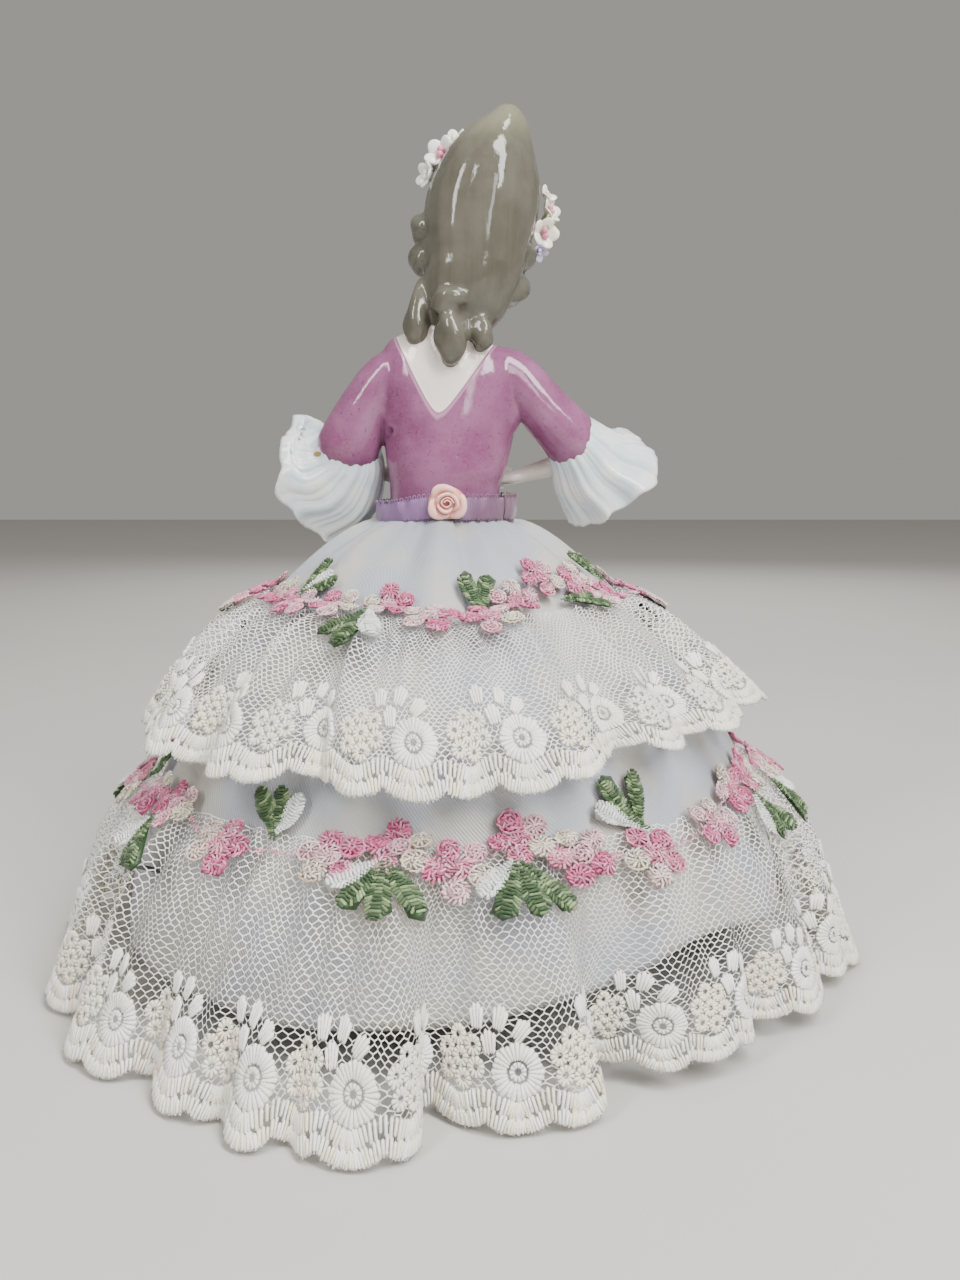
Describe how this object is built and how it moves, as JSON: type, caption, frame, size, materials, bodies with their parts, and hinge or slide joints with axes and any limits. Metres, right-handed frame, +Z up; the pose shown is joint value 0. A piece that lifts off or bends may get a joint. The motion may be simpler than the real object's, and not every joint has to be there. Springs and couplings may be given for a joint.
{
  "type": "porcelain half-doll in a lace-flounced dress",
  "caption": "Porcelain lady's half-figure with tall swept-up hair, sewn into a hollow satin bell skirt with gathered lace flounces, embroidered flower trims, waist ribbon and rose.",
  "frame": {"origin": "on the table, under the centre of the lower flounce's hem", "axes": "+Z up, -Y the way the lady faces, +X to her left"},
  "size_m": [0.2254, 0.2254, 0.2188],
  "materials": {
    "porcelain": "clear gloss glaze over painted mauve, taupe, skin and white",
    "satin": "white satin with a fine diagonal twill and a soft sheen",
    "lace": "white net with thick machine embroidery",
    "ribbon": "lilac satin ribbon with looped edges",
    "rose": "rolled peach satin ribbon",
    "trim": "shiny rayon embroidery in pinks, cream and greens"
  },
  "bodies": {
    "root": {"half_doll": "porcelain", "satin_skirt": "satin", "waist_ribbon": "ribbon", "ribbon_rose": "rose", "upper_flounce": "lace", "lower_flounce": "lace", "upper_flower_trim": "trim", "lower_flower_trim": "trim"}
  },
  "joints": []
}
